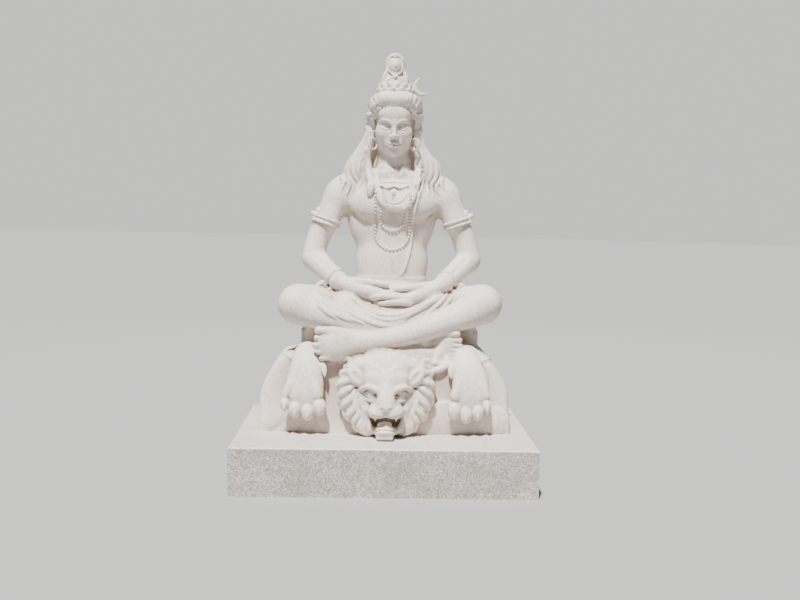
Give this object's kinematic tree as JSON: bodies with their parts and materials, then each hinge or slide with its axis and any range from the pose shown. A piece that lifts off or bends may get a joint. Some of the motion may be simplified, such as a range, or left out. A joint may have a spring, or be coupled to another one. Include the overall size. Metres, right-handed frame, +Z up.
{
  "type": "seated meditating figure statue",
  "caption": "Carved stone figure seated cross-legged on a rock with a lion skin, hands in the lap, hair piled up with a crescent, on a plain stone slab.",
  "frame": {"origin": "centre of the slab's underside", "axes": "+Z up, the figure faces -Y, +X is to the right of a viewer facing the figure"},
  "size_m": [1.03, 0.72, 1.5145],
  "materials": {
    "white_marble": "honed white marble with a faint warm grain",
    "grey_marble": "coarse crystalline light grey marble, sawn"
  },
  "bodies": {
    "root": {"statue": "white_marble", "plinth": "grey_marble"}
  },
  "joints": []
}
